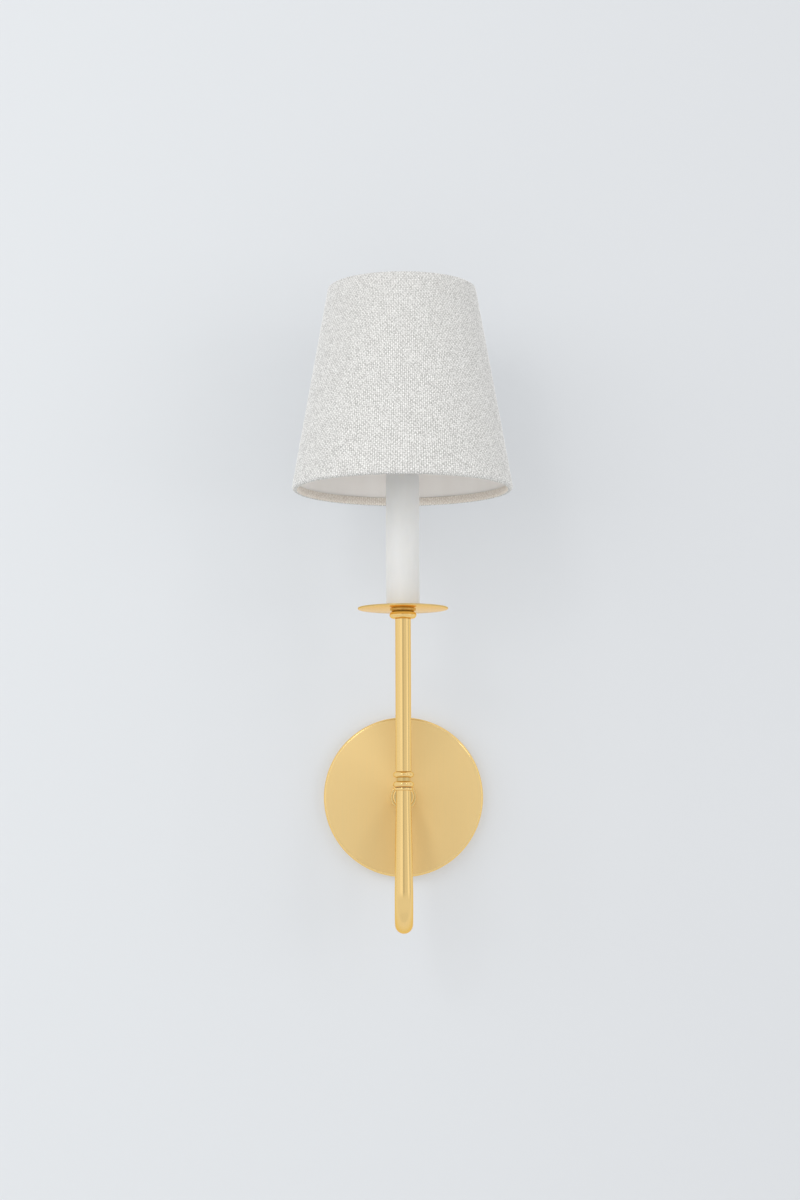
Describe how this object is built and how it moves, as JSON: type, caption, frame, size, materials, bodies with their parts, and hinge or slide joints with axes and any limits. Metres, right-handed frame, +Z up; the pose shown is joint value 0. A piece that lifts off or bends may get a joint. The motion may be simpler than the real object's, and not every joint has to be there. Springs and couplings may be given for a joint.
{
  "type": "wall sconce",
  "caption": "Brass wall sconce: round backplate, swan-neck arm, slim stem with a drip pan and candle sleeve, and a tapered linen clip-on shade.",
  "frame": {"origin": "centre of the backplate and of its mounting strap, on the wall's surface", "axes": "+Z up along the stem, +Y into the wall, +X to the right for someone who faces the wall"},
  "size_m": [0.1592, 0.1846, 0.468],
  "materials": {
    "satin_brass": "satin, brushed in one direction",
    "polished_brass": "polished",
    "tube_brass": "satin, drawn along the tube",
    "contact_brass": "plain",
    "zinc_plate": "zinc plated",
    "plain_steel": "plain",
    "green_screw": "green, for the earth wire",
    "white_holder": "moulded",
    "candle_white": "satin off-white",
    "black_insulation": "wire insulation",
    "white_insulation": "wire insulation",
    "cap_metal": "rolled thread",
    "black_glass": "glossy",
    "bulb_glass": "clear",
    "filament_yellow": "yellow coating",
    "shade_wire": "off-white coated wire",
    "lining_white": "stiff styrene lining",
    "linen_white": "coarse slubbed linen"
  },
  "bodies": {
    "sconce": {"backplate": "satin_brass", "mounting_strap": "zinc_plate", "rim_screws": "polished_brass", "earth_screw": "green_screw", "boss": "polished_brass", "arm_nipple": "zinc_plate", "lock_washer": "plain_steel", "lock_nut": "zinc_plate", "swan_arm": "tube_brass", "collar": "polished_brass", "stem": "tube_brass", "knob": "polished_brass", "drip_pan": "tube_brass", "pipe": "zinc_plate", "pan_nut": "plain_steel", "holder_leg": "plain_steel", "holder_body": "white_holder", "holder_shell": "contact_brass", "holder_contact": "contact_brass", "holder_rivet": "plain_steel", "candle_sleeve": "candle_white", "live_wire": "black_insulation", "neutral_wire": "white_insulation"},
    "bulb_foot": {"bulb_contact": "cap_metal"},
    "bulb": {"bulb_insulator": "black_glass", "bulb_cap": "cap_metal", "bulb_glass": "bulb_glass", "bulb_mount": "bulb_glass", "filament_frame": "plain_steel", "filaments": "filament_yellow"},
    "clip": {"clip_loops": "shade_wire", "clip_barrel": "shade_wire"},
    "shade": {"cross_bar": "shade_wire", "top_ring": "shade_wire", "bottom_ring": "shade_wire", "shade_lining": "lining_white", "shade_linen": "linen_white"}
  },
  "joints": [
    {"name": "bulb_rise", "type": "slide", "parent": "sconce", "child": "bulb_foot", "axis": [0, 0, 1], "range_m": [0, 0.0102]},
    {"name": "bulb_turn", "type": "hinge", "parent": "bulb_foot", "child": "bulb", "pos_m": [0, -0.105, 0.225], "axis": [0, 0, 1], "range_deg": [0, 1440]},
    {"name": "shade_lift", "type": "slide", "parent": "bulb", "child": "clip", "axis": [0, 0, 1], "range_m": [0, 0.16]},
    {"name": "shade_tilt", "type": "hinge", "parent": "clip", "child": "shade", "pos_m": [0, -0.105, 0.3566], "axis": [1, 0, 0], "range_deg": [-8, 8]}
  ],
  "couplings": [
    {"joint": "bulb_rise", "follows": "bulb_turn", "m_per_rad": 0.00040425}
  ]
}
